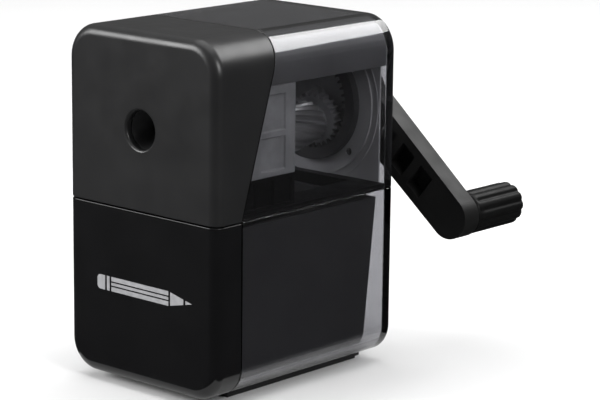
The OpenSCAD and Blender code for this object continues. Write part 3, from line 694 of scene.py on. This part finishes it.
def make_cutter():
    """The helical cutter, on the axis that the frame's joint gives it, with its blades twisted along it."""
    spin = next(j for j in frame["joints"] if j["name"] == "cutter_spin")
    axis = Vector(spin["axis"]).normalized()
    origin = Vector(spin["pos_m"])
    to_axis = Matrix.Translation(origin) @ axis.to_track_quat("Z", "Y").to_matrix().to_4x4()
    blades, length, back = 16, 28.5 * MM, 3.6 * MM
    tip_r, root_r, bore_r = 6.8 * MM, 5.7 * MM, 1.85 * MM
    twist, slices = math.radians(110), 72
    # One blade's outline, as (share of the pitch, radius)
    tooth = [(0.0, root_r), (0.16, root_r), (0.38, tip_r * 0.97), (0.62, tip_r), (0.74, tip_r)]
    outline = [(r, (i + s) * 2 * math.pi / blades) for i in range(blades) for s, r in tooth]
    rings = []
    for k in range(slices + 1):
        t = k / slices
        depth = -back - length * (1 - t)
        turned = [(r, a + twist * t) for r, a in outline]
        rings.append([to_axis @ Vector((r * math.cos(a), r * math.sin(a), depth)) for r, a in turned])
    cutter = loft("cutter_blades", rings)
    bore = loft("bore", [[to_axis @ Vector((px, py, depth)) for px, py in circle(bore_r, 48)]
                         for depth in (-back - length - OVER, -back + OVER)])
    cut(cutter, bore)
    smooth(cutter, 30)
    return piece(cutter, "cutter", ["helical_cutter"], TOOL_STEEL)


# ---------------------------------------------------------------- crank

CRANK_AT = math.radians(40)
CRANK_LEN = 55.6 * MM


def on_arm(u, w):
    """A point in the crank's plane: u along the arm, w across it."""
    return (u * math.cos(CRANK_AT) + w * math.sin(CRANK_AT),
            AXIS_Z - u * math.sin(CRANK_AT) + w * math.cos(CRANK_AT))


def make_arm():
    """The arm with its hub, and a row of open pockets between cross ribs."""
    end_r, hub_end_r, arm_t, proud = 7.2 * MM, 8.0 * MM, 7.2 * MM, 0.4 * MM
    hub_r, shaft_r = 9.0 * MM, 3.0 * MM
    arm_end_y = ARM_HI.y - proud
    arm_y = arm_end_y - arm_t
    outline = arc(CRANK_LEN, 0, end_r, -90, 90, 32) + arc(0, 0, hub_end_r, 90, 270, 32)
    arm = along_y("crank_handle", [on_arm(u, w) for u, w in outline], arm_y, arm_end_y)
    pockets, start, pitch, rib = 3, 17.4 * MM, 9.7 * MM, 3.2 * MM
    side, web = 2.7 * MM, 2.4 * MM
    w = end_r - side
    for k in range(pockets):
        u0, u1 = start + k * pitch, start + (k + 1) * pitch - rib
        corners = [on_arm(u, v) for u, v in ((u0, -w), (u1, -w), (u1, w), (u0, w))]
        cut(arm, along_y("pocket", corners, arm_y - web, arm_end_y - web))
    join(arm, bar("hub", 0, AXIS_Z, hub_r, ARM_LO.y, ARM_HI.y))
    cut(arm, bar("shaft_bore", 0, AXIS_Z, shaft_r, ARM_LO.y - OVER, ARM_HI.y + OVER, 64))
    soften(arm, 0.55 * MM, 4)
    return piece(arm, "crank", ["crank_arm"], BLACK_GRAIN)


def share(value):
    """The value, kept between 0 and 1."""
    return max(0.0, min(1.0, value))


def make_knob():
    """A round grip with shallow flutes that fade out at its ends."""
    x, z = on_arm(CRANK_LEN, 0)
    radius, flutes, depth = 7.0 * MM, 12, 0.5 * MM
    y0, length = KNOB_LO.y, KNOB_HI.y - KNOB_LO.y
    round_r, recess_r, recess_d, bore_r = 2.4 * MM, 3.6 * MM, 0.6 * MM, 2.05 * MM
    foot, rim, steps, around = 0.9 * MM, 0.2 * MM, 14, 240
    profile = [(bore_r, 0), (radius - 1.2 * MM, 0), (radius - 0.4 * MM, 0.25 * MM), (radius, foot)]
    profile += [(radius, foot + (length - round_r - foot) * k / steps) for k in range(1, steps + 1)]
    profile += [(radius - round_r * (1 - math.cos(a)), length - round_r * (1 - math.sin(a)))
                for a in quarter_turn(10)[1:]]
    profile += [(recess_r + rim, length), (recess_r, length - rim), (recess_r, length - recess_d),
                (bore_r, length - recess_d)]
    fade_y, fade_len, fade_r, fade_w = 1.0 * MM, 1.5 * MM, 5.2 * MM, 1.4 * MM
    rings = []
    for r, y in profile:
        fade = share((y - fade_y) / fade_len) * share((r - fade_r) / fade_w)
        ring = []
        for i in range(around):
            a = 2 * math.pi * i / around
            flute = depth * fade * (0.5 - 0.5 * math.cos(flutes * a)) ** 2
            ring.append((x + (r - flute) * math.cos(a), y0 + y, z + (r - flute) * math.sin(a)))
        rings.append(ring)
    count = len(rings)
    faces = [(k * around + i, k * around + (i + 1) % around, ((k + 1) % count) * around + (i + 1) % around,
              ((k + 1) % count) * around + i) for k in range(count) for i in range(around)]
    knob = add_object("crank_knob", [p for ring in rings for p in ring], faces)
    tidy_mesh(knob)
    smooth(knob, 50)
    return piece(knob, "knob", ["knob"], KNOB_PLASTIC)


# ---------------------------------------------------------------- foot

def make_foot():
    """The plate under the casing, with four screw holes sunk for their heads from below."""
    screw_x, screw_y, head_r, hole_r, sink = 15 * MM, 22 * MM, 3.0 * MM, 1.6 * MM, 1 * MM
    plate = block("foot_plate", PLATE_LO, PLATE_HI)
    for x in (-screw_x, screw_x):
        for side in (-1, 1):
            y = (PLATE_LO.y + PLATE_HI.y) / 2 + side * screw_y
            cut(plate, post("screw_head", x, y, head_r, PLATE_LO.z - OVER, PLATE_LO.z + sink))
            cut(plate, post("screw_hole", x, y, hole_r, PLATE_LO.z - OVER, PLATE_HI.z + OVER))
    soften(plate, 0.25 * MM)
    return piece(plate, "housing", ["base_plate"], DECK_PLASTIC)


CAD_FINISHES = {
    "base_screws": SCREW_STEEL, "housing_screws": SCREW_STEEL, "deck_screws": SCREW_STEEL,
    "drawer_screws": SCREW_STEEL, "hub_screw": SCREW_STEEL, "knob_pin": SCREW_STEEL,
    "non_slip_pad": RUBBER, "deck": DECK_PLASTIC, "top_frame": FRAME_PLASTIC,
    "gear_housing": HOUSING_GREY, "ring_gear": RING_PLASTIC, "rear_bush": BRASS,
    "pencil_guide": GEAR_BLACK, "guide_nut": SCREW_STEEL, "crank_shaft": AXLE_STEEL,
    "carrier": ZINC, "carrier_pin": AXLE_STEEL, "cutter_axle": AXLE_STEEL,
    "thrust_washers": BRASS, "cutter_pinion": PINION_STEEL, "shaft_clip": AXLE_STEEL,
    "hub_washer": SCREW_STEEL,
}


def dress_frame():
    """Gives each CAD node that stays in view its own material."""
    for name, finish in CAD_FINISHES.items():
        mesh = frame["nodes"][name].data
        mesh.materials.clear()
        mesh.materials.append(finish)


make_camera()
make_world()
make_floor()
make_dark_table()
make_dark_screen()
make_lights()
make_bezel()
make_clear_cover()
make_clear_casing()
make_drawer_face()
make_mark()
make_tray()
make_bulkhead()
make_rails()
make_cutter()
make_arm()
make_knob()
make_foot()
dress_frame()
bpy.context.scene.view_settings.view_transform = "Standard"
